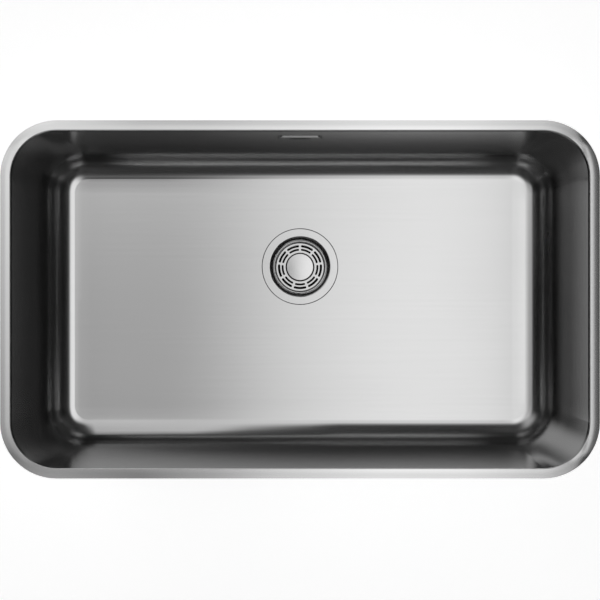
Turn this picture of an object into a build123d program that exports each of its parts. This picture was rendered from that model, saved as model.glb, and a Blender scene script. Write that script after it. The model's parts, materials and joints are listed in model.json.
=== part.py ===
from build123d import *
import os
from math import asin, cos, degrees, isclose, radians, sin, tan

# Single-bowl kitchen sink of drawn stainless sheet, set into a worktop.
# Millimetres. X runs left to right, +Y to the back wall with the overflow, +Z up.
# The origin is the middle of the opening, on the worktop that the rim's seal lies on.

# Bowl and rim
LENGTH = 770.0
WIDTH = 460.0
BOWL_DEPTH = 200.0
SHEET = 1.0
OPENING_CORNER_R = 59.0
WALL_DRAFT = 3.0
FLOOR_BEND_R = 30.0
RIM_WIDTH = 13.4
RIM_CROWN_R = 56.0
RIM_BEND_R = 1.2
RIM_EDGE_LIFT = 0.6
SEAL_FROM_WALL = 4.0
SEAL_FROM_EDGE = 1.5
SEAL_GAP = 0.1

# Sound pads
PAD_T = 2.5
PAD_CORNER_R = 12.0
WALL_PAD_H = 80.0
PAD_END_MARGIN = 60.0
PAD_ABOVE_BEND = 12.0
FLOOR_PAD_MARGIN = 20.0
FLOOR_PAD_DRAIN_GAP = 12.0
BACK_PAD_FROM_MIDDLE = 45.0

# Drain flange, cup and the seat pressed into the floor
DRAIN_Y = 48.6
FLANGE_R = 55.4
FLANGE_GAP = 0.2
FLANGE_SEAL_T = 1.5
SEAT_LAND = 3.0
SEAT_BEND_R = 1.0
CUP_SHEET = 1.0
CUP_BORE_R = 42.2
CUP_LIP_R = 3.4
CUP_HOLE_GAP = 2.0
LEDGE_DEPTH = 11.0
CUP_NECK_R = 41.5
NECK_BEND_R = 2.0
LEDGE_R = 38.6
LEDGE_BEND_R = 1.0
CUP_FOOT_R = 36.8
CUP_FOOT_BEND_R = 3.0
OUTLET_RING_R = 23.5
OUTLET_HUB_R = 10.5
OUTLET_SPOKE = 5.0
OUTLET_COUNT = 4

# Strainer basket
BASKET_SHEET = 0.8
BASKET_LIP_R = 39.6
BASKET_GAP = 0.6
BASKET_BEND_R = 1.0
PLATE_DEPTH = 24.0
PLATE_R = 36.3
PLATE_BEND_R = 1.0
WELL_R = 20.8
WELL_DEPTH = 4.0
SLOT_COUNT = 9
SLOT_SPOKE = 2.7
OUTER_SLOT_R = 31.4
OUTER_SLOT_W = 3.5
INNER_SLOT_R = 26.1
INNER_SLOT_W = 3.0
SIDE_SLOT_COUNT = 24
SIDE_SLOT_LENGTH = 6.5
SIDE_SLOT_W = 2.0
SIDE_SLOT_TILT = 30.0
SIDE_CUT_REACH = 2.4

# Knob, stem and stopper
STROKE = 9.0
KNOB_R = 20.0
KNOB_NECK_R = 13.0
KNOB_NECK_H = 4.2
KNOB_EDGE_H = 2.6
KNOB_DOME_H = 0.6
KNOB_ROUND_R = 0.6
KNOB_GAP = 0.3
STEM_R = 4.0
STEM_GRIP = 4.0
STEM_CLEARANCE = 0.05
BUSH_R = 6.0
BUSH_FLANGE_R = 9.0
BUSH_FLANGE_T = 1.2
BUSH_TAIL = 3.0
STOP_GAP = 0.5
JAM_NUT_FLATS = 12.0
JAM_NUT_H = 3.2
STOPPER_R = 33.0
STOPPER_T = 4.0
STOPPER_ROUND_R = 1.2
STOPPER_SEAL_W = 5.5
STOPPER_SEAL_PROUD = 0.5
LOCATING_RING_W = 2.5
LOCATING_RING_H = 2.0

# Fixing screw, insert and waste body
SCREW_R = 3.0
SCREW_LENGTH = 15.0
SCREW_HEAD_R = 6.5
SCREW_HEAD_H = 3.0
SCREW_HOLE_GAP = 0.4
SCREW_HEAD_GAP = 1.0
INSERT_R = 5.5
INSERT_LENGTH = 14.0
HUB_R = 9.5
HUB_GAP = 1.0
HUB_FLOOR = 4.0
RIB_T = 3.0
RIB_H = 14.0
GASKET_T = 2.0
GASKET_W = 9.0
BODY_WALL = 3.0
BODY_FLANGE_R = 57.0
BODY_NECK_GAP = 2.0
BODY_STEP = 4.0
BODY_R = 43.0
BODY_ROUND_R = 3.4
SUMP_DEPTH = 20.0
SUMP_CONE = 12.0
OUTLET_R = 23.9
OUTLET_LENGTH = 28.0
OUTLET_ROUND_R = 6.0

# Overflow
OVERFLOW_DROP = 41.0
COVER_LENGTH = 58.0
COVER_H = 16.0
COVER_CORNER_R = 6.0
COVER_PROUD = 2.2
COVER_SHEET = 0.6
COVER_ROUND_R = 1.6
COVER_INLET_LENGTH = 28.0
COVER_INLET_H = 5.0
CLIP_SPACING = 11.0
CLIP_W = 5.0
CLIP_T = 1.0
CLIP_REACH = 7.0
CLIP_FROM_SLOT = 0.6
WALL_SLOT_LENGTH = 24.0
WALL_SLOT_H = 9.0
FACE_SCREW_SPACING = 35.0
FACE_SCREW_R = 2.0
FACE_SCREW_HEAD_R = 3.1
FACE_SCREW_HEAD_H = 1.2
FACE_SCREW_LENGTH = 12.0
FACE_SCREW_GAP = 0.15
FACE_BOSS_R = 4.0
FACE_BOSS_LENGTH = 11.0
HEAD_LENGTH = 54.0
HEAD_H = 26.0
HEAD_CORNER_R = 6.0
HEAD_FLANGE_T = 2.5
HOOD_LENGTH = 26.5
HOOD_RISE = 9.0
HOOD_FALL = 16.0
HOOD_DEPTH = 16.0
HOOD_WALL = 2.0
HOOD_ROUND_R = 3.0
FACE_GASKET_T = 1.5

# Overflow pipe and its joints
PIPE_R = 8.0
PIPE_WALL = 1.5
PIPE_BEND_R = 32.0
PIPE_FROM_HEAD_FACE = 9.0
PIPE_GAP = 0.1
SOCKET_WALL = 1.3
SOCKET_LENGTH = 16.0
SOCKET_GRIP = 8.0
TOP_SEAL_T = 1.2
TOP_SEAL_H = 5.0
SPIGOT_DEPTH = 38.0
SPIGOT_R = 12.5
SPIGOT_REACH = 66.0
SPIGOT_GRIP = 13.0
CONE_SEAL_H = 3.0
CONE_SEAL_EDGE_H = 1.0
PIPE_NUT_FLATS = 31.0
PIPE_NUT_SIDES = 8
PIPE_NUT_LENGTH = 16.0
PIPE_NUT_FACE = 2.5
NUT_HOLE_GAP = 0.3

# Heights and places worked out from the sizes above
half_x = LENGTH / 2 - RIM_WIDTH
half_y = WIDTH / 2 - RIM_WIDTH
draft = radians(WALL_DRAFT)
wall_skin = SHEET / cos(draft)
crown_turn = asin((RIM_WIDTH - RIM_BEND_R) / RIM_CROWN_R)
rim_crest = RIM_EDGE_LIFT + SHEET * cos(crown_turn) + RIM_CROWN_R * (1 - cos(crown_turn))
crown_centre = (RIM_BEND_R, rim_crest - RIM_CROWN_R)
floor_z = rim_crest - BOWL_DEPTH
wall_foot = BOWL_DEPTH * tan(draft)
floor_in = wall_foot + FLOOR_BEND_R
at_drain = Pos(0, DRAIN_Y, floor_z)

# Drain heights, measured from the top of the bowl's floor
recess_depth = CUP_SHEET + FLANGE_SEAL_T
recess_r = FLANGE_R + FLANGE_GAP
drain_hole_r = CUP_BORE_R + CUP_SHEET + CUP_HOLE_GAP
lip_z = BASKET_SHEET - LEDGE_DEPTH
basket_top_r = LEDGE_R - BASKET_GAP - BASKET_SHEET
well_z = -PLATE_DEPTH - WELL_DEPTH
bush_foot_z = well_z - BASKET_SHEET - BUSH_TAIL
knob_z = well_z + BUSH_FLANGE_T + KNOB_GAP
nut_top_z = bush_foot_z - STOP_GAP - STROKE
stopper_top_z = nut_top_z - JAM_NUT_H
stopper_z = stopper_top_z - STOPPER_T
seat_z = stopper_z - SCREW_HEAD_GAP - SCREW_HEAD_H
stopper_seal_in_r = STOPPER_R + STOPPER_SEAL_PROUD - STOPPER_SEAL_W
hub_z = seat_z - CUP_SHEET - HUB_GAP
body_top_z = -recess_depth - SHEET - GASKET_T
body_neck_r = CUP_BORE_R + CUP_SHEET + BODY_NECK_GAP
body_step_z = -LEDGE_DEPTH - CUP_SHEET - BODY_STEP
sump_z = seat_z - SUMP_DEPTH
outlet_z = sump_z - SUMP_CONE - OUTLET_LENGTH
spigot_z = -SPIGOT_DEPTH

# Overflow places, in the sink's frame
overflow_z = rim_crest - OVERFLOW_DROP


def wall_inset(z):
    """How far the wall's inner face stands inside the edge of the opening, at a height."""
    return (rim_crest - z) * tan(draft)


gasket_top_z = overflow_z + HEAD_H / 2
head_y = half_y - wall_inset(gasket_top_z) + wall_skin + FACE_GASKET_T
pipe_y = head_y + PIPE_FROM_HEAD_FACE
socket_r = PIPE_R + TOP_SEAL_T + SOCKET_WALL
hood_h = HOOD_RISE + HOOD_FALL
hood_foot_z = overflow_z - HOOD_FALL
socket_foot_z = hood_foot_z - SOCKET_LENGTH
pipe_top_z = socket_foot_z + TOP_SEAL_H + SOCKET_GRIP
spigot_end_y = DRAIN_Y + SPIGOT_REACH


def turned(section):
    """A solid of revolution about Z from a section drawn with radius and height."""
    return revolve(Plane.XZ * section, Axis.Z)


def sheet_section(path, thickness):
    """The section of a pressed sheet whose seen face runs along the path, seen side on the right."""
    return make_face(offset(path, amount=thickness, side=Side.LEFT))


def ring(inner_r, outer_r, height):
    """A flat ring standing on Z = 0."""
    return extrude(Circle(outer_r) - Circle(inner_r), height)


def carried_round(section):
    """A section drawn outward from the opening's edge, carried round its four sides and corners."""
    section = Plane.XZ * section
    run_x = half_x - OPENING_CORNER_R
    run_y = half_y - OPENING_CORNER_R
    side = extrude(Pos(half_x, 0, 0) * section, run_y, both=True)
    back = Rot(0, 0, 90) * extrude(Pos(half_y, 0, 0) * section, run_x, both=True)
    corner = revolve(Pos(OPENING_CORNER_R, 0, 0) * section, Axis.Z, 90)
    pieces = [side, Rot(0, 0, 180) * side, back, Rot(0, 0, 180) * back]
    for quarter, (sign_x, sign_y) in enumerate([(1, 1), (-1, 1), (-1, -1), (1, -1)]):
        pieces.append(Pos(sign_x * run_x, sign_y * run_y, 0) * Rot(0, 0, 90 * quarter) * corner)
    return Part() + pieces


def outer_wall_plane(outward, z):
    """A plane on the wall's outer face at a height, local Y up the wall and local Z away from it."""
    half = half_x if outward.X else half_y
    origin = outward * (half - wall_inset(z) + wall_skin) + Vector(0, 0, z)
    normal = outward * cos(draft) - Vector(0, 0, sin(draft))
    return Plane(origin=origin, x_dir=(-outward.Y, outward.X, 0), z_dir=normal)


def through_back(sketch, start_y, depth):
    """A sketch at the overflow, seen from the front, given depth towards the back from a place along Y."""
    return Pos(0, start_y + depth, overflow_z) * (Plane.XZ * extrude(sketch, depth))


def overflow_holes():
    """The overflow's slot in the wall, with the screw hole at each end of it."""
    holes = SlotOverall(WALL_SLOT_LENGTH, WALL_SLOT_H)
    for side in (-1, 1):
        holes += Pos(side * FACE_SCREW_SPACING / 2, 0) * Circle(FACE_SCREW_R + FACE_SCREW_GAP)
    return holes


# Bowl and what is fixed on it

def make_bowl():
    crown = CenterArc(crown_centre, RIM_CROWN_R, 90 - degrees(crown_turn), degrees(crown_turn))
    fall = FilletPolyline(
        (RIM_BEND_R, rim_crest),
        (0, rim_crest),
        (-wall_foot, floor_z),
        (-floor_in, floor_z),
        radius=[RIM_BEND_R, FLOOR_BEND_R],
    )
    walls = carried_round(sheet_section(Wire([*crown.edges(), *fall.edges()]), SHEET))

    flat = RectangleRounded(
        2 * (half_x - floor_in), 2 * (half_y - floor_in), OPENING_CORNER_R - floor_in
    )
    seat_r = recess_r + SEAT_LAND
    floor = Pos(0, 0, floor_z - SHEET) * extrude(flat - Pos(0, DRAIN_Y) * Circle(seat_r), SHEET)

    seat_path = FilletPolyline(
        (seat_r, 0),
        (recess_r, 0),
        (recess_r, -recess_depth),
        (drain_hole_r, -recess_depth),
        radius=[SEAT_BEND_R, SEAT_BEND_R],
    )
    seat = at_drain * turned(sheet_section(seat_path, SHEET))

    punch = through_back(overflow_holes(), half_y - floor_in, floor_in + RIM_WIDTH)
    return walls + floor + seat - punch


def make_rim_seal():
    width = RIM_WIDTH - SEAL_FROM_WALL - SEAL_FROM_EDGE
    strip = Pos(SEAL_FROM_WALL + width / 2, rim_crest / 2) * Rectangle(width, rim_crest)
    return carried_round(strip & Pos(*crown_centre) * Circle(RIM_CROWN_R - SHEET - SEAL_GAP))


def make_wall_pad(outward, length, along=0.0):
    z = floor_z + FLOOR_BEND_R + PAD_ABOVE_BEND + WALL_PAD_H / 2
    pad = extrude(Pos(along, 0) * RectangleRounded(length, WALL_PAD_H, PAD_CORNER_R), PAD_T)
    return outer_wall_plane(outward, z) * pad


def make_floor_pad():
    outline = RectangleRounded(
        2 * (half_x - floor_in - FLOOR_PAD_MARGIN),
        2 * (half_y - floor_in - FLOOR_PAD_MARGIN),
        PAD_CORNER_R,
    )
    outline -= Pos(0, DRAIN_Y) * Circle(BODY_FLANGE_R + FLOOR_PAD_DRAIN_GAP)
    return Pos(0, 0, floor_z - SHEET - PAD_T) * extrude(outline, PAD_T)


# Drain

def make_flange_seal():
    inner_r = CUP_BORE_R + CUP_LIP_R + FLANGE_GAP
    outer_r = recess_r - SEAT_BEND_R - FLANGE_GAP
    return at_drain * Pos(0, 0, -recess_depth) * ring(inner_r, outer_r, FLANGE_SEAL_T)


def make_strainer_cup():
    path = FilletPolyline(
        (FLANGE_R, 0),
        (CUP_BORE_R, 0),
        (CUP_NECK_R, -LEDGE_DEPTH),
        (LEDGE_R, -LEDGE_DEPTH),
        (CUP_FOOT_R, seat_z),
        (SCREW_R + SCREW_HOLE_GAP, seat_z),
        radius=[CUP_LIP_R, NECK_BEND_R, LEDGE_BEND_R, CUP_FOOT_BEND_R],
    )
    outlets = Circle(OUTLET_RING_R) - Circle(OUTLET_HUB_R)
    spokes = Rectangle(2 * OUTLET_RING_R, OUTLET_SPOKE)
    for turn in range(OUTLET_COUNT // 2):
        outlets -= Rot(0, 0, 360 * turn / OUTLET_COUNT) * spokes
    cut = Pos(0, 0, seat_z - CUP_SHEET) * extrude(outlets, CUP_SHEET)
    return at_drain * (turned(sheet_section(path, CUP_SHEET)) - cut)


def make_body_gasket():
    outer_r = drain_hole_r + GASKET_W
    return at_drain * Pos(0, 0, body_top_z) * ring(body_neck_r + BODY_ROUND_R, outer_r, GASKET_T)


def make_waste_body():
    bore_r = OUTLET_R - BODY_WALL
    path = FilletPolyline(
        (BODY_FLANGE_R, body_top_z),
        (body_neck_r, body_top_z),
        (body_neck_r, body_step_z),
        (BODY_R, body_step_z - BODY_STEP),
        (BODY_R, sump_z),
        (bore_r, sump_z - SUMP_CONE),
        (bore_r, outlet_z),
        radius=[BODY_ROUND_R, BODY_ROUND_R, BODY_ROUND_R, OUTLET_ROUND_R, OUTLET_ROUND_R],
    )
    shell = turned(sheet_section(path, BODY_WALL))

    hub_length = INSERT_LENGTH + HUB_FLOOR
    hub = Pos(0, 0, hub_z - hub_length) * extrude(Circle(HUB_R), hub_length)
    ribs = Rectangle(2 * BODY_R + BODY_WALL, RIB_T) + Rectangle(RIB_T, 2 * BODY_R + BODY_WALL)
    rib_top_z = hub_z - (hub_length - RIB_H) / 2
    hub += Pos(0, 0, rib_top_z - RIB_H) * extrude(ribs, RIB_H)
    hub -= Pos(0, 0, hub_z - INSERT_LENGTH) * extrude(Circle(INSERT_R), INSERT_LENGTH)

    # The spigot runs out along +Y, cut back to the body's bore at its root
    reach = SPIGOT_REACH - BODY_R
    root = Pos(0, BODY_R - SPIGOT_R, spigot_z) * Rot(-90, 0, 0)
    spigot = root * extrude(Circle(SPIGOT_R), reach + SPIGOT_R)
    spigot -= Pos(0, 0, spigot_z - SPIGOT_R) * extrude(Circle(BODY_R), 2 * SPIGOT_R)
    way = root * extrude(Circle(PIPE_R - PIPE_WALL), reach + SPIGOT_R)
    grip_y = SPIGOT_REACH - SPIGOT_GRIP
    socket = Pos(0, grip_y, spigot_z) * Rot(-90, 0, 0) * extrude(Circle(PIPE_R + PIPE_GAP), SPIGOT_GRIP)
    return at_drain * (shell + hub + spigot - way - socket)


def make_thread_insert():
    return at_drain * Pos(0, 0, hub_z - INSERT_LENGTH) * ring(SCREW_R, INSERT_R, INSERT_LENGTH)


def make_fixing_screw():
    shank = Pos(0, 0, seat_z - SCREW_LENGTH) * extrude(Circle(SCREW_R), SCREW_LENGTH)
    head = Pos(0, 0, seat_z) * extrude(Circle(SCREW_HEAD_R), SCREW_HEAD_H)
    head = fillet(head.edges().group_by(Axis.Z)[-1], SCREW_HEAD_H / 2)
    return at_drain * (shank + head)


# Strainer basket and plug

def slot_ring(radius, width):
    """Curved slots with round ends on one circle, one spoke pointing to the back wall."""
    pitch = 360 / SLOT_COUNT
    sweep_angle = pitch - degrees((SLOT_SPOKE + width) / radius)
    start = 90 + (pitch - sweep_angle) / 2
    slots = Sketch()
    for turn in range(SLOT_COUNT):
        arc = CenterArc((0, 0), radius, start + turn * pitch, sweep_angle)
        slots += SlotArc(arc, width)
    return slots


def make_basket():
    path = FilletPolyline(
        (BASKET_LIP_R, lip_z),
        (basket_top_r, lip_z),
        (PLATE_R, -PLATE_DEPTH),
        (WELL_R, -PLATE_DEPTH),
        (WELL_R, well_z),
        (BUSH_R, well_z),
        radius=[BASKET_BEND_R, PLATE_BEND_R, BASKET_BEND_R, BASKET_BEND_R],
    )
    basket = turned(sheet_section(path, BASKET_SHEET))
    slots = slot_ring(OUTER_SLOT_R, OUTER_SLOT_W) + slot_ring(INNER_SLOT_R, INNER_SLOT_W)
    basket -= Pos(0, 0, -PLATE_DEPTH - BASKET_SHEET) * extrude(slots, BASKET_SHEET)

    side_z = (lip_z - PLATE_DEPTH) / 2
    side_r = (basket_top_r + PLATE_R + BASKET_SHEET) / 2
    side_slot = Rot(0, 0, SIDE_SLOT_TILT) * SlotOverall(SIDE_SLOT_LENGTH, SIDE_SLOT_W, rotation=90)
    side_cut = extrude(side_slot, SIDE_CUT_REACH, both=True)
    side_cut = Plane(origin=(side_r, 0, side_z), z_dir=(1, 0, 0)) * side_cut
    basket -= [Rot(0, 0, 360 * turn / SIDE_SLOT_COUNT) * side_cut for turn in range(SIDE_SLOT_COUNT)]
    return at_drain * basket


def make_stem_bush():
    length = BUSH_TAIL + BASKET_SHEET
    sleeve = Pos(0, 0, bush_foot_z) * extrude(Circle(BUSH_R), length)
    flange = Pos(0, 0, well_z) * extrude(Circle(BUSH_FLANGE_R), BUSH_FLANGE_T)
    bore = Pos(0, 0, bush_foot_z) * extrude(Circle(STEM_R + STEM_CLEARANCE), length + BUSH_FLANGE_T)
    return at_drain * (sleeve + flange - bore)


def make_knob():
    cap_z = knob_z + KNOB_NECK_H
    edge_z = cap_z + KNOB_EDGE_H
    side = Polyline((0, edge_z + KNOB_DOME_H), (0, knob_z), (KNOB_NECK_R, knob_z), (KNOB_NECK_R, cap_z))
    side += Polyline((KNOB_NECK_R, cap_z), (KNOB_R, cap_z), (KNOB_R, edge_z))
    dome_r = (KNOB_R**2 + KNOB_DOME_H**2) / (2 * KNOB_DOME_H)
    dome_turn = degrees(asin(KNOB_R / dome_r))
    dome = CenterArc((0, edge_z + KNOB_DOME_H - dome_r), dome_r, 90 - dome_turn, dome_turn)
    cap = turned(make_face(side + dome))
    circles = cap.edges().filter_by(GeomType.CIRCLE)
    cap = fillet([edge for edge in circles if isclose(edge.radius, KNOB_R)], KNOB_ROUND_R)
    return at_drain * (cap - Pos(0, 0, knob_z) * extrude(Circle(STEM_R), STEM_GRIP))


def make_stem():
    return at_drain * Pos(0, 0, stopper_z) * extrude(Circle(STEM_R), knob_z + STEM_GRIP - stopper_z)


def make_stopper():
    disc = Pos(0, 0, stopper_z) * extrude(Circle(STOPPER_R), STOPPER_T)
    disc = fillet(disc.edges().group_by(Axis.Z)[-1], STOPPER_ROUND_R)
    outer_r = stopper_seal_in_r
    disc += Pos(0, 0, stopper_z - LOCATING_RING_H) * ring(outer_r - LOCATING_RING_W, outer_r, LOCATING_RING_H)
    return at_drain * (disc - Pos(0, 0, stopper_z) * extrude(Circle(STEM_R), STOPPER_T))


def make_stopper_seal():
    band = ring(stopper_seal_in_r, STOPPER_R + STOPPER_SEAL_PROUD, stopper_z - seat_z)
    return at_drain * Pos(0, 0, seat_z) * band


def make_jam_nut():
    outline = RegularPolygon(JAM_NUT_FLATS / 2, 6, major_radius=False) - Circle(STEM_R)
    return at_drain * Pos(0, 0, stopper_top_z) * extrude(outline, JAM_NUT_H)


# Overflow

def make_overflow_cover():
    cover = extrude(RectangleRounded(COVER_LENGTH, COVER_H, COVER_CORNER_R), COVER_PROUD)
    cover = fillet(cover.edges().group_by(Axis.Z)[-1], COVER_ROUND_R)
    inside = RectangleRounded(
        COVER_LENGTH - 2 * COVER_SHEET, COVER_H - 2 * COVER_SHEET, COVER_CORNER_R - COVER_SHEET
    )
    inside_depth = COVER_PROUD - COVER_SHEET
    hollow = extrude(inside, inside_depth)
    cover -= fillet(hollow.edges().group_by(Axis.Z)[-1], COVER_ROUND_R - COVER_SHEET)
    cover -= extrude(SlotOverall(COVER_INLET_LENGTH, COVER_INLET_H), COVER_PROUD)
    clip_y = (WALL_SLOT_H - CLIP_T) / 2 - CLIP_FROM_SLOT
    for side in (-1, 1):
        foot = Pos(side * CLIP_SPACING / 2, clip_y, -CLIP_REACH) * Rectangle(CLIP_W, CLIP_T)
        cover += extrude(foot, CLIP_REACH + inside_depth)
    wall = outer_wall_plane(Vector(0, 1, 0), overflow_z)
    face = Plane(origin=wall.origin - wall.z_dir * SHEET, x_dir=(1, 0, 0), z_dir=-wall.z_dir)
    return face * cover


def make_overflow_gasket():
    outline = RectangleRounded(HEAD_LENGTH, HEAD_H, HEAD_CORNER_R) - overflow_holes()
    blank = through_back(outline, half_y - floor_in, head_y - half_y + floor_in)
    return split(blank, outer_wall_plane(Vector(0, 1, 0), overflow_z), keep=Keep.TOP)


def make_overflow_head():
    flange = through_back(RectangleRounded(HEAD_LENGTH, HEAD_H, HEAD_CORNER_R), head_y, HEAD_FLANGE_T)
    middle = Pos(0, (HOOD_RISE - HOOD_FALL) / 2)
    outside = middle * RectangleRounded(HOOD_LENGTH, hood_h, HOOD_ROUND_R)
    hood = through_back(outside, head_y, HOOD_DEPTH)
    hood = fillet(hood.edges().group_by(Axis.Y)[-1], HOOD_ROUND_R)
    inside = middle * Rectangle(HOOD_LENGTH - 2 * HOOD_WALL, hood_h - 2 * HOOD_WALL)
    cavity = through_back(inside, head_y, HOOD_DEPTH - HOOD_WALL)
    below_gasket = Pos(0, -(HEAD_H + hood_h) / 2 + HEAD_CORNER_R) * Rectangle(HOOD_LENGTH, hood_h)
    cavity -= through_back(below_gasket, head_y, HEAD_FLANGE_T)
    at_socket = Pos(0, pipe_y, socket_foot_z)
    socket = at_socket * extrude(Circle(socket_r), SOCKET_LENGTH + HOOD_WALL)
    head = flange + hood + socket - cavity
    for side in (-1, 1):
        place = Pos(side * FACE_SCREW_SPACING / 2, 0)
        head += through_back(place * Circle(FACE_BOSS_R), head_y, FACE_BOSS_LENGTH)
        head -= through_back(place * Circle(FACE_SCREW_R), head_y, FACE_SCREW_LENGTH - FACE_SCREW_HEAD_H)
    seal_room = at_socket * extrude(Circle(PIPE_R + TOP_SEAL_T), TOP_SEAL_H)
    grip = at_socket * extrude(Circle(PIPE_R + PIPE_GAP), TOP_SEAL_H + SOCKET_GRIP)
    way = at_socket * extrude(Circle(PIPE_R - PIPE_WALL), SOCKET_LENGTH + HOOD_WALL)
    return head - seal_room - grip - way


def make_overflow_screws():
    """Two pan-head screws, their heads clear of the wall's slope under the cover."""
    slope = FACE_SCREW_HEAD_R * tan(draft)
    seat_y = half_y - wall_inset(overflow_z) - slope
    screw = through_back(Circle(FACE_SCREW_R), seat_y, FACE_SCREW_LENGTH)
    head = through_back(Circle(FACE_SCREW_HEAD_R), seat_y - FACE_SCREW_HEAD_H, FACE_SCREW_HEAD_H)
    screw += fillet(head.edges().group_by(Axis.Y)[0], FACE_SCREW_HEAD_H / 2)
    return Compound([Pos(side * FACE_SCREW_SPACING / 2, 0, 0) * screw for side in (-1, 1)])


def make_overflow_pipe():
    route = Plane.YZ * FilletPolyline(
        (spigot_end_y - SPIGOT_GRIP, floor_z + spigot_z),
        (pipe_y, floor_z + spigot_z),
        (pipe_y, pipe_top_z),
        radius=PIPE_BEND_R,
    )
    wall = Circle(PIPE_R) - Circle(PIPE_R - PIPE_WALL)
    start = Plane(origin=route @ 0, z_dir=route % 0)
    return sweep(start * wall, route)


def make_pipe_top_seal():
    return Pos(0, pipe_y, socket_foot_z) * ring(PIPE_R, PIPE_R + TOP_SEAL_T, TOP_SEAL_H)


def along_spigot(y):
    """A place on the spigot's axis, with local Z pointing to the back."""
    return Pos(0, y, floor_z + spigot_z) * Rot(-90, 0, 0)


def make_pipe_cone_seal():
    cone = Polyline(
        (PIPE_R, 0),
        (SPIGOT_R, 0),
        (SPIGOT_R, CONE_SEAL_EDGE_H),
        ((PIPE_R + SPIGOT_R) / 2, CONE_SEAL_H),
        (PIPE_R, CONE_SEAL_H),
        close=True,
    )
    return along_spigot(spigot_end_y) * turned(make_face(cone))


def make_pipe_nut():
    face_y = spigot_end_y + CONE_SEAL_H
    length = PIPE_NUT_LENGTH
    nut = extrude(RegularPolygon(PIPE_NUT_FLATS / 2, PIPE_NUT_SIDES, major_radius=False), length)
    nut -= extrude(Circle(SPIGOT_R), length - PIPE_NUT_FACE)
    nut -= extrude(Circle(PIPE_R + NUT_HOLE_GAP), length)
    return along_spigot(face_y + PIPE_NUT_FACE - length) * nut


def make_parts():
    front = Vector(0, -1, 0)
    back = Vector(0, 1, 0)
    left = Vector(-1, 0, 0)
    right = Vector(1, 0, 0)
    front_run = 2 * (half_x - OPENING_CORNER_R - PAD_END_MARGIN)
    side_run = 2 * (half_y - OPENING_CORNER_R - PAD_END_MARGIN)
    back_run = front_run / 2 - BACK_PAD_FROM_MIDDLE
    back_along = BACK_PAD_FROM_MIDDLE + back_run / 2
    return {
        "bowl": make_bowl(),
        "rim_seal": make_rim_seal(),
        "front_pad": make_wall_pad(front, front_run),
        "left_pad": make_wall_pad(left, side_run),
        "right_pad": make_wall_pad(right, side_run),
        "back_left_pad": make_wall_pad(back, back_run, back_along),
        "back_right_pad": make_wall_pad(back, back_run, -back_along),
        "floor_pad": make_floor_pad(),
        "flange_seal": make_flange_seal(),
        "strainer_cup": make_strainer_cup(),
        "body_gasket": make_body_gasket(),
        "waste_body": make_waste_body(),
        "thread_insert": make_thread_insert(),
        "fixing_screw": make_fixing_screw(),
        "basket": make_basket(),
        "stem_bush": make_stem_bush(),
        "knob": make_knob(),
        "stem": make_stem(),
        "stopper": make_stopper(),
        "stopper_seal": make_stopper_seal(),
        "jam_nut": make_jam_nut(),
        "overflow_cover": make_overflow_cover(),
        "overflow_gasket": make_overflow_gasket(),
        "overflow_head": make_overflow_head(),
        "overflow_screws": make_overflow_screws(),
        "overflow_pipe": make_overflow_pipe(),
        "pipe_top_seal": make_pipe_top_seal(),
        "pipe_cone_seal": make_pipe_cone_seal(),
        "pipe_nut": make_pipe_nut(),
    }


os.makedirs("parts", exist_ok=True)
for name, shape in make_parts().items():
    export_step(shape, f"parts/{name}.step")
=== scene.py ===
import json
from math import pi, radians, tan

import bpy
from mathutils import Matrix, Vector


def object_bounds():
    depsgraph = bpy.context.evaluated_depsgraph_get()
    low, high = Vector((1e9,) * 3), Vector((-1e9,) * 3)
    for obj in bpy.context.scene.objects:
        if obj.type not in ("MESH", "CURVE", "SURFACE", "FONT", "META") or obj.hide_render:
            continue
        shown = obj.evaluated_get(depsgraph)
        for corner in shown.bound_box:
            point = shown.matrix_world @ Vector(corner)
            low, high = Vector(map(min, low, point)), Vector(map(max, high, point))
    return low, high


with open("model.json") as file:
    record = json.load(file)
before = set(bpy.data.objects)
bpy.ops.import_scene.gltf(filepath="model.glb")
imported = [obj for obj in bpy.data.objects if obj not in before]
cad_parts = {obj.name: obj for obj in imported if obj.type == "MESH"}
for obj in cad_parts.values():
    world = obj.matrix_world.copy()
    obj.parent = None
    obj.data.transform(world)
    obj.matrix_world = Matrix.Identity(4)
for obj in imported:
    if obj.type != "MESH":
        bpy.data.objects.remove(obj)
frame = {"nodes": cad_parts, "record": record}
cad_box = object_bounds()

# Photograph's view, in metres, with the lens in millimetres
RIM_CREST_Z = 0.0029
CAMERA_ABOVE_RIM = 1.311
CAMERA_Y = -0.0008
LENS_MM = 61.35
SENSOR_MM = 36.0

# Least values to divide by, and where the values of a noise mostly lie
TINY = 0.00001
SMALL = 0.001
NOISE_LOW, NOISE_HIGH = 0.25, 0.75
TINT_FROM, TINT_TO = 0.3, 0.7

# Bowl's floor, in metres, and where the floor and the rim are brushed
BOWL_DEPTH = 0.200
BOWL_FLOOR_Z = RIM_CREST_Z - BOWL_DEPTH
FLOOR_HALF_X = 0.33265
FLOOR_HALF_Y = 0.17765
FLOOR_CORNER_R = 0.02005
BRUSHED_RISE = 0.016
RIM_BRUSH_FROM_Z, RIM_BRUSH_FULL_Z = -0.002, 0.0

# Bowl's brushing: how the noise is stretched along X, Y and Z, and how much of it the satin walls keep
GRAIN_STRETCH = (18, 2200, 2200)
STREAK_STRETCH = (5, 260, 260)
CLOUD_SCALE = 7.0
SATIN_LINES = 0.03
GLOSS_LOW, GLOSS_HIGH = 0.92, 1.08

# Profiles below: a span of places, and stops of a place in that span and the level there

# Bowl's roughness by height
ROUGH_SPAN = (-0.2, 0.005)
ROUGH = [(-0.197, 0.13), (-0.194, 0.24), (-0.175, 0.26), (-0.160, 0.17), (-0.004, 0.17), (-0.001, 0.2)]

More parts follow.
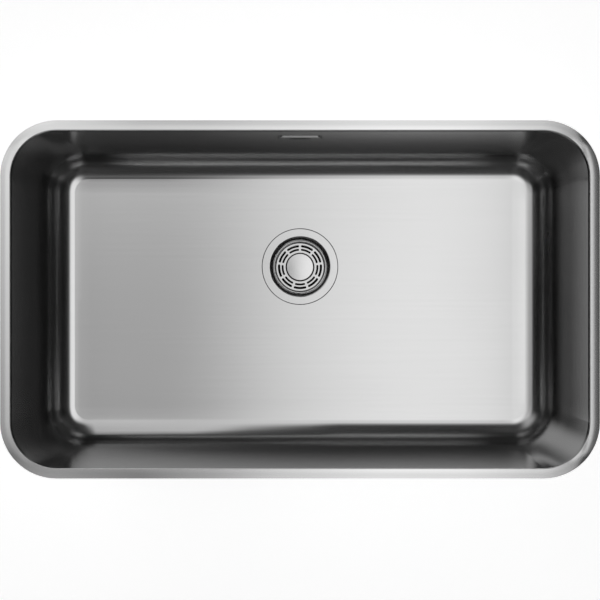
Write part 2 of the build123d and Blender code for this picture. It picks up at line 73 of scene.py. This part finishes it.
# Soft start of the floor's bend, a slope of the shading normal by the distance past the floor's edge
EASE_SPAN = (-0.024, 0.008)
EASE = [
    (-0.022, 0.0), (-0.013, 0.021), (-0.007, 0.047), (-0.0015, 0.07), (0.002, 0.06), (0.004, 0.026),
    (0.0075, 0.0),
]

# More of that slope along the back left and less of it at the right, by place from left to right
LEFT_SPAN = (-0.34, 0.10)
SOFT_BACK = [(-0.330, 0.0), (-0.310, 0.8), (-0.200, 0.8), (-0.120, 0.35), (-0.030, 0.0)]
RIGHT_SPAN = (0.2, 0.4)
CRISP_RIGHT = [(0.30, 1.0), (0.32, 0.45)]

# Slight bow of the walls, a slope by height
BOW_SPAN = (-0.2, 0.0)
BOW = [(-0.185, 0.0), (-0.160, 0.07), (-0.080, 0.08), (-0.035, 0.05), (-0.004, 0.03), (0.0, 0.0)]

# Thin dark line under the rim's inner edge, a slope by height that fades out towards the front
LINE_SPAN = (-0.008, 0.002)
EDGE_LINE = [(-0.0038, 0.0), (-0.0022, 0.2), (0.0015, 0.2), (0.0019, 0.0)]
EDGE_LINE_FROM_Y, EDGE_LINE_FULL_Y = -0.205, -0.185

# Later start of the bend along the front left: share of a held normal by place and by distance past the edge
FLAT_FRONT = [
    (-0.318, 0.0), (-0.300, 1.0), (-0.160, 1.0), (-0.118, 0.85), (-0.075, 0.65), (-0.030, 0.5), (0.015, 0.35),
    (0.060, 0.0),
]
FLAT_SPAN = (-0.02, 0.03)
FLAT_REACH = [(-0.004, 0.0), (0.004, 1.0), (0.0140, 1.0), (0.0200, 0.72), (0.0235, 0.0)]
FLAT_NORMAL = (0.0, 0.13, 1.0)

# Strainer basket's lip, in metres: its shading tilts from inward, 0, to outward, 1, as on a rolled edge
DRAIN_Y = 0.0486
LIP_SPAN = (0.0371, 0.0397)
LIP_LOW_Z, LIP_HIGH_Z = -0.2078, -0.2065
LIP_ROLL = [(0.0372, 0.0), (0.0376, 0.1), (0.0378, 0.5), (0.0387, 0.5), (0.0389, 0.9), (0.0396, 1.0)]

# Painted shade: the steel's colour is darkened on the strainer's steep walls, by the upward part of the
# normal, and on the overflow's cover
STEEP, LEVEL, STEEP_PAINTED_SHADE = 0.60, 0.95, 0.40
STRAINER_TOP_Z, ABOVE_STRAINER_Z = -0.196, -0.190
BELOW_COVER_Z, COVER_FOOT_Z, COVER_PAINTED_SHADE = -0.080, -0.060, 0.6

# Turned and pressed steel
FINE_SCALE = 900.0
MOTTLE_SCALE = 60.0
GRAIN_HEIGHT = 0.00001

# Soft materials: how much wider their patches are than their skin, and how much their gloss varies
PATCH_WIDER = 12
SOFT_GLOSS = 0.06

# Stage
FLOOR_GAP = 0.0004
FLOOR_SIZE = 30.0
FLOOR_MOTTLE = 3.0
WHITE_GLOW = 0.75

# Overhead softbox: strength by the lean of a direction from upright, across (x / z) and along (y / z)
LEAN_SPAN = (-0.7, 0.7)
BOX_ACROSS = [
    (-0.66, 0.0), (-0.58, 0.01), (-0.52, 0.14), (-0.46, 0.50), (-0.36, 0.48), (-0.28, 0.46), (-0.18, 0.58),
    (-0.13, 0.52), (-0.09, 0.60), (-0.055, 0.80), (-0.02, 0.97), (0.03, 1.11), (0.08, 1.21), (0.12, 1.25),
    (0.20, 1.17), (0.235, 0.88), (0.285, 0.42), (0.36, 0.11), (0.47, 0.022), (0.54, 0.03), (0.62, 0.02),
    (0.69, 0.004),
]
BOX_ALONG = [
    (-0.58, 0.06), (-0.48, 0.08), (-0.40, 0.13), (-0.33, 0.34), (-0.26, 0.62), (-0.20, 0.85), (-0.15, 1.0),
    (0.15, 1.0), (0.20, 0.85), (0.26, 0.62), (0.33, 0.36), (0.40, 0.16), (0.48, 0.07), (0.58, 0.035),
]

# Share of the softbox that is shaded towards the front left
SHADE_ACROSS = [
    (-0.30, 0.62), (-0.12, 0.60), (-0.08, 0.45), (-0.05, 0.35), (0.0, 0.28), (0.04, 0.15), (0.09, 0.0),
]
SHADE_ALONG = [(-0.43, 0.0), (-0.38, 1.0), (-0.20, 1.0), (-0.16, 0.6), (-0.12, 0.0)]

# Dim patch of light added towards the back left
PATCH_ACROSS = [(-0.45, 0.0), (-0.30, 1.0), (-0.12, 1.0), (0.0, 0.0)]
PATCH_SPAN = (0.0, 2.2)
PATCH_ALONG = [
    (0.0, 0.0), (0.06, 0.06), (0.12, 0.14), (0.15, 0.28), (0.24, 0.28), (0.34, 0.30), (0.40, 0.25),
    (0.46, 0.15), (0.55, 0.06), (0.80, 0.06), (1.7, 0.06), (2.1, 0.0),
]

# Room round the softbox, by the upward part of a direction: a bright horizon in a dark room
HORIZON = [(0.0, 1.0), (0.14, 1.0), (0.22, 0.02), (0.40, 0.02), (0.44, 0.005)]

# Low glow in front and behind, by the upward part and by how far a direction turns from X, 0, to Y, 1
SIDE_RISE = [(0.0, 0.0), (0.14, 0.0), (0.20, 1.4), (0.34, 1.4), (0.40, 0.5), (0.44, 0.0)]
SIDE_TURN = [(0.80, 0.0), (0.93, 1.0)]
SIDE_BLEND_Y, SIDE_AT_FRONT, SIDE_AT_BACK = 0.1, 0.85, 1.40

# Faint glow on the diagonals and a stronger one at the back left, by upward part and nearness to a diagonal
CORNER_RISE = [(0.0, 0.0), (0.14, 0.0), (0.20, 0.04), (0.52, 0.04), (0.75, 0.03), (0.86, 0.0)]
CORNER_TURN = [(0.55, 0.0), (0.85, 1.0)]
KEY_RISE = [(0.40, 0.0), (0.68, 0.48), (0.84, 0.48), (0.94, 0.0)]
KEY_TURN = [(0.40, 0.0), (0.95, 1.0)]

# Low cards just outside the rim, in metres
CARD_Z = 0.08
CARD_W = 0.07
CARD_SPREAD = radians(116)
LONG_CARD, LONG_CARD_X, LONG_CARD_Y = 0.86, -0.03, 0.262
SHORT_CARD, LEFT_CARD_X = 0.45, -0.425
RIGHT_CARD_W, RIGHT_CARD_X = 0.06, 0.4275

# Strengths of the cards: over their width, then from their left or front end to the other
OUTWARD = [(0.0, 0.62), (0.4, 1.10), (0.8, 1.8)]
INWARD = [(0.2, 1.8), (0.6, 1.10), (1.0, 0.62)]
EVEN = [(0.0, 1.0)]
BACK_CARD = [
    (0.0, 0.95), (0.14, 0.83), (0.28, 0.60), (0.38, 0.68), (0.48, 0.88), (0.66, 1.16), (0.80, 1.16),
    (0.95, 0.88),
]
FRONT_CARD = [
    (0.0, 0.6), (0.14, 0.50), (0.28, 0.30), (0.40, 0.56), (0.50, 0.88), (0.66, 1.16), (0.80, 1.16),
    (0.95, 0.84),
]
LEFT_CARD = [(0.0, 0.50), (0.15, 0.57), (0.5, 0.77), (0.85, 0.92), (1.0, 0.95)]

# Right card's strength over its width, from the rim outwards
RIGHT_CARD = [(0.0, 1.5), (0.16, 1.3), (0.28, 0.32), (0.5, 0.23), (0.8, 0.17)]

# Square cards at the corners: name, x, y, width and strength
CORNER_CARD_TURN = 45
CORNER_CARDS = [
    ("back_left_card", -0.398, 0.232, 0.06, 0.85),
    ("front_left_card", -0.398, -0.232, 0.06, 0.45),
    ("back_right_card", 0.380, 0.216, 0.024, 0.9),
    ("front_right_card", 0.380, -0.216, 0.024, 1.1),
]


# Node helpers

class Graph:
    """Adds and links the nodes of a material, the world or a light."""

    def __init__(self, tree):
        self.nodes = tree.nodes
        self.links = tree.links

    def add(self, kind, inputs=None, **settings):
        node = self.nodes.new(kind)
        for key, value in settings.items():
            setattr(node, key, value)
        for key, value in (inputs or {}).items():
            self.feed(node.inputs[key], value)
        return node

    def feed(self, socket, value):
        if isinstance(value, bpy.types.NodeSocket):
            self.links.new(value, socket)
        else:
            socket.default_value = value

    def math(self, operation, first, second=0.0):
        return self.add("ShaderNodeMath", {0: first, 1: second}, operation=operation).outputs[0]

    def plus(self, first, second):
        return self.math("ADD", first, second)

    def minus(self, first, second):
        return self.math("SUBTRACT", first, second)

    def times(self, first, second):
        return self.math("MULTIPLY", first, second)

    def squares(self, first, second):
        return self.plus(self.times(first, first), self.times(second, second))

    def vector(self, operation, inputs):
        return self.add("ShaderNodeVectorMath", inputs, operation=operation).outputs[0]

    def split(self, vector):
        """The X, Y and Z of a vector."""
        return self.add("ShaderNodeSeparateXYZ", {0: vector}).outputs

    def place(self):
        """The place on the piece, in its own frame."""
        return self.add("ShaderNodeTexCoord").outputs["Object"]

    def sloped(self, slope):
        """The surface's normal with a slope added."""
        normal = self.add("ShaderNodeNewGeometry").outputs["Normal"]
        return self.vector("NORMALIZE", {0: self.vector("ADD", {0: normal, 1: slope})})

    def noise(self, scale, stretch=(1, 1, 1), detail=2.0):
        place = self.add("ShaderNodeMapping", {"Vector": self.place(), "Scale": stretch}).outputs["Vector"]
        inputs = {"Vector": place, "Scale": scale, "Detail": detail}
        return self.add("ShaderNodeTexNoise", inputs).outputs["Fac"]

    def mapped(self, value, low, high, start, end):
        inputs = {"Value": value, "From Min": low, "From Max": high, "To Min": start, "To Max": end}
        return self.add("ShaderNodeMapRange", inputs).outputs["Result"]

    def spread(self, value, start, end):
        """A noise value spread between two numbers."""
        return self.mapped(value, NOISE_LOW, NOISE_HIGH, start, end)

    def ramp(self, value, stops):
        """A colour ramp from stops of place, 0 to 1, and colour or grey level."""
        node = self.add("ShaderNodeValToRGB", {"Fac": value})
        band = node.color_ramp.elements
        band.remove(band[1])
        for number, (place, colour) in enumerate(stops):
            element = band.new(place) if number else band[0]
            element.position = place
            element.color = (*colour, 1) if isinstance(colour, tuple) else (colour, colour, colour, 1)
        return node.outputs["Color"]

    def profile(self, value, span, stops):
        """A ramp whose stops lie at places in a span."""
        low, high = span
        share = self.mapped(value, low, high, 0.0, 1.0)
        return self.ramp(share, [((place - low) / (high - low), level) for place, level in stops])

    def tint(self, value, dark, light):
        return self.ramp(value, [(TINT_FROM, dark), (TINT_TO, light)])

    def bump(self, height, distance, strength, under=None):
        inputs = {"Height": height, "Distance": distance, "Strength": strength}
        if under is not None:
            inputs["Normal"] = under
        return self.add("ShaderNodeBump", inputs).outputs["Normal"]


class Finish(Graph):
    """One material with a Principled shader."""

    def __init__(self, name):
        self.material = bpy.data.materials.new(name)
        self.material.use_nodes = True
        super().__init__(self.material.node_tree)
        self.shader = self.nodes["Principled BSDF"]

    def done(self, **values):
        for key, value in values.items():
            self.feed(self.shader.inputs[key.replace("_", " ")], value)
        return self.material


# Materials

def drawn_normal(g):
    """The normal of the drawn sheet, with bends that start softly and walls that bow a little."""
    x, y, z = g.split(g.place())

    def past(part, half):
        return g.math("MAXIMUM", g.minus(g.math("ABSOLUTE", part), half - FLOOR_CORNER_R), 0.0)

    past_x = past(x, FLOOR_HALF_X)
    past_y = past(y, FLOOR_HALF_Y)
    reach = g.math("MAXIMUM", g.math("SQRT", g.squares(past_x, past_y)), TINY)
    ease = g.profile(g.minus(reach, FLOOR_CORNER_R), EASE_SPAN, EASE)
    at_back = g.math("GREATER_THAN", y, 0.0)
    softer = g.times(at_back, g.profile(x, LEFT_SPAN, SOFT_BACK))
    ease = g.times(ease, g.plus(softer, 1.0))
    ease = g.times(ease, g.profile(x, RIGHT_SPAN, CRISP_RIGHT))

    def inward(part, beyond):
        share = g.math("DIVIDE", beyond, reach)
        side = g.times(g.math("SIGN", part), -1.0)
        return g.times(g.times(ease, share), side)

    not_front = g.mapped(y, EDGE_LINE_FROM_Y, EDGE_LINE_FULL_Y, 0.0, 1.0)
    line = g.times(g.profile(z, LINE_SPAN, EDGE_LINE), not_front)
    rise = g.plus(g.profile(z, BOW_SPAN, BOW), line)
    parts = {"X": inward(x, past_x), "Y": inward(y, past_y), "Z": rise}
    normal = g.sloped(g.add("ShaderNodeCombineXYZ", parts).outputs[0])

    beyond_front = g.minus(g.times(y, -1.0), FLOOR_HALF_Y)
    flat = g.times(g.profile(x, LEFT_SPAN, FLAT_FRONT), g.profile(beyond_front, FLAT_SPAN, FLAT_REACH))
    bent = g.vector("SCALE", {0: normal, "Scale": g.minus(1.0, flat)})
    held = g.vector("SCALE", {0: FLAT_NORMAL, "Scale": flat})
    return g.vector("NORMALIZE", {0: g.vector("ADD", {0: bent, 1: held})})


def bowl_steel():
    """Drawn sheet: satin walls, and a floor and rim brushed along X."""
    g = Finish("bowl_steel")
    height = g.split(g.place())["Z"]
    on_floor = g.mapped(height, BOWL_FLOOR_Z, BOWL_FLOOR_Z + BRUSHED_RISE, 1.0, 0.0)
    on_rim = g.mapped(height, RIM_BRUSH_FROM_Z, RIM_BRUSH_FULL_Z, 0.0, 1.0)
    brushed = g.math("MAXIMUM", on_floor, on_rim)
    grain = g.noise(1.0, GRAIN_STRETCH, detail=3.0)
    streaks = g.noise(1.0, STREAK_STRETCH)
    clouds = g.noise(CLOUD_SCALE)
    lines = g.times(grain, g.mapped(brushed, 0.0, 1.0, SATIN_LINES, 1.0))
    return g.done(
        Base_Color=g.tint(streaks, dark=0.615, light=0.625),
        Metallic=1.0,
        Roughness=g.times(g.spread(clouds, GLOSS_LOW, GLOSS_HIGH), g.profile(height, ROUGH_SPAN, ROUGH)),
        Normal=g.bump(lines, GRAIN_HEIGHT, strength=0.035, under=drawn_normal(g)),
    )


def rolled_normal(g):
    """The normal of the strainer, with the basket's flat lip shaded as rolled over."""
    x, y, z = g.split(g.place())
    away = g.minus(y, DRAIN_Y)
    reach = g.math("MAXIMUM", g.math("SQRT", g.squares(x, away)), SMALL)

    def between(value, low, high):
        return g.times(g.math("GREATER_THAN", value, low), g.math("LESS_THAN", value, high))

    on_lip = g.times(between(reach, *LIP_SPAN), between(z, LIP_LOW_Z, LIP_HIGH_Z))
    tilt = g.mapped(g.profile(reach, LIP_SPAN, LIP_ROLL), 0.0, 1.0, -1.0, 1.0)
    tilt = g.math("DIVIDE", g.times(tilt, on_lip), reach)
    parts = {"X": g.times(x, tilt), "Y": g.times(away, tilt)}
    return g.sloped(g.add("ShaderNodeCombineXYZ", parts).outputs[0])


def strainer_steel():
    """Pressed steel of the strainer and the overflow's cover, with painted shade darkening the strainer's
    steep walls and the cover.
    """
    g = Finish("strainer_steel")
    height = g.split(g.place())["Z"]
    grain = g.noise(FINE_SCALE, detail=3.0)
    clouds = g.noise(MOTTLE_SCALE)
    normal = rolled_normal(g)
    upward = g.math("ABSOLUTE", g.split(normal)["Z"])
    # Painted shade: the strainer's steep walls below its top get a darker colour, standing in for their dark
    # reflections
    steep = g.mapped(upward, STEEP, LEVEL, STEEP_PAINTED_SHADE, 1.0)
    steep = g.math("MAXIMUM", steep, g.mapped(height, STRAINER_TOP_Z, ABOVE_STRAINER_Z, 0.0, 1.0))
    # Painted shade: the overflow's cover, above the cover's foot, gets a darker colour as well
    painted_shade = g.times(g.mapped(height, BELOW_COVER_Z, COVER_FOOT_Z, 1.0, COVER_PAINTED_SHADE), steep)
    return g.done(
        Base_Color=g.vector("SCALE", {0: g.tint(clouds, dark=0.62, light=0.66), "Scale": painted_shade}),
        Metallic=1.0,
        Roughness=g.spread(clouds, 0.14, 0.19),
        Normal=g.bump(grain, GRAIN_HEIGHT, strength=0.10, under=normal),
    )


def turned_steel(name, dark, light, low, high):
    """Turned steel with a fine even grain, and roughness from low to high."""
    g = Finish(name)
    grain = g.noise(FINE_SCALE, detail=3.0)
    clouds = g.noise(MOTTLE_SCALE)
    return g.done(
        Base_Color=g.tint(clouds, dark, light),
        Metallic=1.0,
        Roughness=g.spread(clouds, low, high),
        Normal=g.bump(grain, GRAIN_HEIGHT, strength=0.10),
    )


def soft(name, dark, light, scale, rough, depth):
    """Rubber, foam or moulded plastic: mottled colour, varied gloss and a fine skin."""
    g = Finish(name)
    patches = g.noise(scale / PATCH_WIDER, detail=3.0)
    skin = g.noise(scale, detail=3.0)
    return g.done(
        Base_Color=g.tint(patches, dark, light),
        Roughness=g.spread(patches, rough - SOFT_GLOSS, rough + SOFT_GLOSS),
        Normal=g.bump(skin, depth, strength=0.6),
    )


def brass():
    """Turned brass with fine rings."""
    g = Finish("brass")
    rings = g.noise(1.0, stretch=(300, 300, 4000))
    return g.done(
        Base_Color=g.tint(rings, dark=(0.60, 0.44, 0.19), light=(0.72, 0.56, 0.28)),
        Metallic=1.0,
        Roughness=g.spread(rings, 0.22, 0.34),
        Normal=g.bump(rings, distance=0.00003, strength=0.4),
    )


pad_greys = {"dark": (0.15, 0.15, 0.16), "light": (0.20, 0.20, 0.21)}
waste_whites = {"dark": (0.76, 0.76, 0.75), "light": (0.82, 0.82, 0.81)}
materials = {
    "bowl_steel": bowl_steel(),
    "strainer_steel": strainer_steel(),
    "polished_steel": turned_steel("polished_steel", dark=0.64, light=0.68, low=0.12, high=0.17),
    "screw_steel": turned_steel("screw_steel", dark=0.56, light=0.62, low=0.22, high=0.32),
    "brass": brass(),
    "black_rubber": soft("black_rubber", dark=0.020, light=0.032, scale=2500.0, rough=0.55, depth=0.00004),
    "foam_seal": soft("foam_seal", dark=0.08, light=0.12, scale=1600.0, rough=0.8, depth=0.00012),
    "sound_pad": soft("sound_pad", **pad_greys, scale=500.0, rough=0.72, depth=0.0004),
    "waste_plastic": soft("waste_plastic", **waste_whites, scale=1800.0, rough=0.42, depth=0.00003),
    "bush_plastic": soft("bush_plastic", dark=0.014, light=0.022, scale=1800.0, rough=0.7, depth=0.00003),
}
for subpart in frame["record"]["subparts"]:
    data = frame["nodes"][subpart["node"]].data
    data.materials.clear()
    data.materials.append(materials[subpart["material_slot"]])


# Stage, light and camera

def stage_floor():
    """A large pale floor that looks white and keeps the sink's shadow."""
    low, _ = cad_box
    mesh = bpy.data.meshes.new("floor")
    half = FLOOR_SIZE / 2
    corners = [(-half, -half, 0), (half, -half, 0), (half, half, 0), (-half, half, 0)]
    mesh.from_pydata(corners, [], [(0, 1, 2, 3)])
    floor = bpy.data.objects.new("floor", mesh)
    floor.location.z = low[2] - FLOOR_GAP
    bpy.context.scene.collection.objects.link(floor)
    g = Finish("floor_white")
    g.done(Base_Color=g.tint(g.noise(FLOOR_MOTTLE), dark=0.86, light=0.88), Roughness=0.9)
    path = g.add("ShaderNodeLightPath").outputs
    seen = g.math("MAXIMUM", path["Is Camera Ray"], path["Is Glossy Ray"])
    seen = g.math("MAXIMUM", seen, path["Is Transmission Ray"])
    glow = {"Color": (1, 1, 1, 1), "Strength": g.times(seen, WHITE_GLOW)}
    white = g.add("ShaderNodeEmission", glow).outputs[0]
    both = g.add("ShaderNodeAddShader", {0: g.shader.outputs[0], 1: white}).outputs[0]
    g.links.new(both, g.nodes["Material Output"].inputs["Surface"])
    mesh.materials.append(g.material)


def studio_world():
    """A soft overhead light with a dim left part, in a dark room with a bright horizon."""
    world = bpy.data.worlds.new("studio")
    bpy.context.scene.world = world
    world.use_nodes = True
    g = Graph(world.node_tree)
    x, y, z = g.split(g.add("ShaderNodeTexCoord").outputs["Generated"])
    up = g.math("MAXIMUM", z, SMALL)
    lean_x = g.math("DIVIDE", x, up)
    lean_y = g.math("DIVIDE", y, up)

    box = g.times(g.profile(lean_x, LEAN_SPAN, BOX_ACROSS), g.profile(lean_y, LEAN_SPAN, BOX_ALONG))
    shade = g.times(g.profile(lean_x, LEAN_SPAN, SHADE_ACROSS), g.profile(lean_y, LEAN_SPAN, SHADE_ALONG))
    box = g.times(box, g.minus(1.0, shade))
    patch = g.times(g.profile(lean_x, LEAN_SPAN, PATCH_ACROSS), g.profile(lean_y, PATCH_SPAN, PATCH_ALONG))

    level = g.math("MAXIMUM", g.squares(x, y), SMALL)
    facing = g.math("DIVIDE", g.times(y, y), level)
    side = g.times(g.ramp(z, SIDE_RISE), g.ramp(facing, SIDE_TURN))
    side = g.times(side, g.mapped(y, -SIDE_BLEND_Y, SIDE_BLEND_Y, SIDE_AT_FRONT, SIDE_AT_BACK))
    # Twice x times y over the sum of their squares is 1 on a diagonal
    diagonal = g.math("DIVIDE", g.math("ABSOLUTE", g.times(x, y)), level)
    diagonal = g.times(diagonal, 2.0)
    corner = g.times(g.ramp(z, CORNER_RISE), g.ramp(diagonal, CORNER_TURN))
    at_back_left = g.times(g.math("LESS_THAN", x, 0.0), g.math("GREATER_THAN", y, 0.0))
    key = g.times(g.ramp(z, KEY_RISE), g.times(g.ramp(diagonal, KEY_TURN), at_back_left))

    total = g.ramp(z, HORIZON)
    for part in (box, patch, side, corner, key):
        total = g.plus(total, part)
    background = g.nodes["Background"].inputs
    background["Color"].default_value = (1, 1, 1, 1)
    g.links.new(total, background["Strength"])


def card(name, place, turn, size, stops, over=EVEN):
    """A rectangular light that faces down, with a strength that runs along its local X and Y by the stops."""
    light = bpy.data.lights.new(name, "AREA")
    light.shape = "RECTANGLE"
    light.size, light.size_y = size
    light.spread = CARD_SPREAD
    # Power at which a strength of 1 looks as bright as white
    narrowed = 1 - CARD_SPREAD / 2 / tan(CARD_SPREAD / 2)
    light.energy = pi * size[0] * size[1] * narrowed
    light.use_nodes = True
    g = Graph(light.node_tree)
    x, y, _ = g.split(g.add("ShaderNodeNewGeometry").outputs["Parametric"])
    g.links.new(g.times(g.ramp(x, stops), g.ramp(y, over)), g.nodes["Emission"].inputs["Strength"])
    lamp = bpy.data.objects.new(name, light)
    lamp.location = (*place, CARD_Z)
    lamp.rotation_euler.z = radians(turn)
    bpy.context.scene.collection.objects.link(lamp)


stage_floor()
studio_world()
card("back_card", (LONG_CARD_X, LONG_CARD_Y), 0, (LONG_CARD, CARD_W), BACK_CARD, OUTWARD)
card("front_card", (LONG_CARD_X, -LONG_CARD_Y), 0, (LONG_CARD, CARD_W), FRONT_CARD, INWARD)
card("left_card", (LEFT_CARD_X, 0.0), 90, (SHORT_CARD, CARD_W), LEFT_CARD, OUTWARD)
card("right_card", (RIGHT_CARD_X, 0.0), 0, (RIGHT_CARD_W, SHORT_CARD), RIGHT_CARD)
for name, x, y, wide, level in CORNER_CARDS:
    card(name, (x, y), CORNER_CARD_TURN, (wide, wide), [(0.0, level)])

lens = bpy.data.cameras.new("camera")
lens.lens = LENS_MM
lens.sensor_width = SENSOR_MM
camera = bpy.data.objects.new("camera", lens)
camera.location = (0, CAMERA_Y, RIM_CREST_Z + CAMERA_ABOVE_RIM)
bpy.context.scene.collection.objects.link(camera)
bpy.context.scene.camera = camera
bpy.context.scene.view_settings.view_transform = "Standard"
